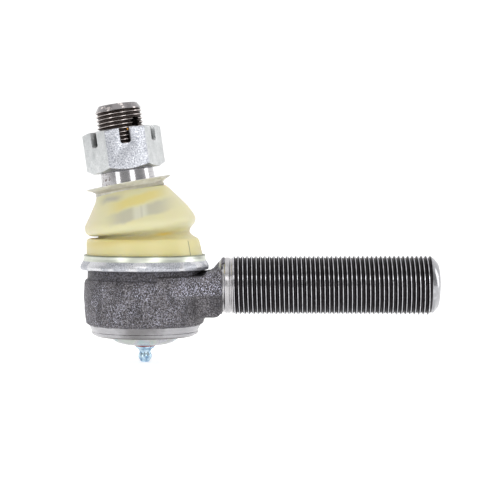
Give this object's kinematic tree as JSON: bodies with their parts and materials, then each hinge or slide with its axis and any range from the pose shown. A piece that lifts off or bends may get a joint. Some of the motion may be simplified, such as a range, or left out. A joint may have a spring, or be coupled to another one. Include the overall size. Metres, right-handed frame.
{
  "type": "tie rod end",
  "caption": "Threaded-shank steering ball joint: forged socket, tilting tapered ball stud with slotted nut, spring-loaded bearing, swaged cap with grease fitting and sealing boot.",
  "frame": {"origin": "centre of the ball, where the swing axes cross", "axes": "+X along the threaded shank towards its end, +Z along the socket's axis towards the stud, +Y away from the side that shows the cotter pin hole"},
  "size_m": [0.1707, 0.061, 0.1231],
  "materials": {
    "forged_steel": "matte",
    "stud_steel": "satin",
    "zinc_nut": "satin",
    "zinc_ring": "satin",
    "zinc_cap": "satin",
    "zinc_blue": "gloss",
    "spring_steel": "satin",
    "bearing_polymer": "satin",
    "washer_red": "satin",
    "seal_rubber": "matte",
    "boot_polyurethane": "satin",
    "lip_polyurethane": "satin"
  },
  "bodies": {
    "socket": {"housing": "forged_steel", "upper_bearing": "bearing_polymer", "preload_spring": "spring_steel", "end_cap": "zinc_cap", "cap_seal": "seal_rubber", "fitting_washer": "washer_red", "grease_fitting": "zinc_blue", "fitting_check_spring": "spring_steel", "boot_retaining_ring": "zinc_ring"},
    "boot": {"dust_boot": "boot_polyurethane"},
    "top_seal": {"boot_top_seal": "lip_polyurethane"},
    "stud": {"ball_stud": "stud_steel"},
    "nut": {"slotted_nut": "zinc_nut"},
    "pressure_bearing": {"lower_bearing": "bearing_polymer"},
    "check_ball": {"fitting_check_ball": "stud_steel"}
  },
  "joints": [
    {"name": "swing_side", "type": "hinge", "parent": "socket", "child": "boot", "pos_m": [0, 0, 0], "axis": [1, 0, 0], "range_deg": [-14, 14], "deforming": ["dust_boot"]},
    {"name": "swing_fore_aft", "type": "hinge", "parent": "boot", "child": "top_seal", "pos_m": [0, 0, 0], "axis": [0, 1, 0], "range_deg": [-6, 22], "deforming": ["dust_boot"]},
    {"name": "stud_spin", "type": "hinge", "parent": "top_seal", "child": "stud", "pos_m": [0, 0, 0], "axis": [-0.1392, 0, 0.9903], "continuous": true},
    {"name": "nut_turn", "type": "hinge", "parent": "stud", "child": "nut", "pos_m": [-0.00974, 0, 0.06932], "axis": [-0.1392, 0, 0.9903], "continuous": true},
    {"name": "bearing_take_up", "type": "slide", "parent": "socket", "child": "pressure_bearing", "axis": [0, 0, -1], "range_m": [0, 0.0006], "stiffness_N_per_m": 6000, "springref_m": -0.001, "deforming": ["preload_spring"]},
    {"name": "check_ball_lift", "type": "slide", "parent": "socket", "child": "check_ball", "axis": [0, 0, 1], "range_m": [0, 0.001], "stiffness_N_per_m": 60, "springref_m": -0.0012, "deforming": ["fitting_check_spring"]}
  ]
}
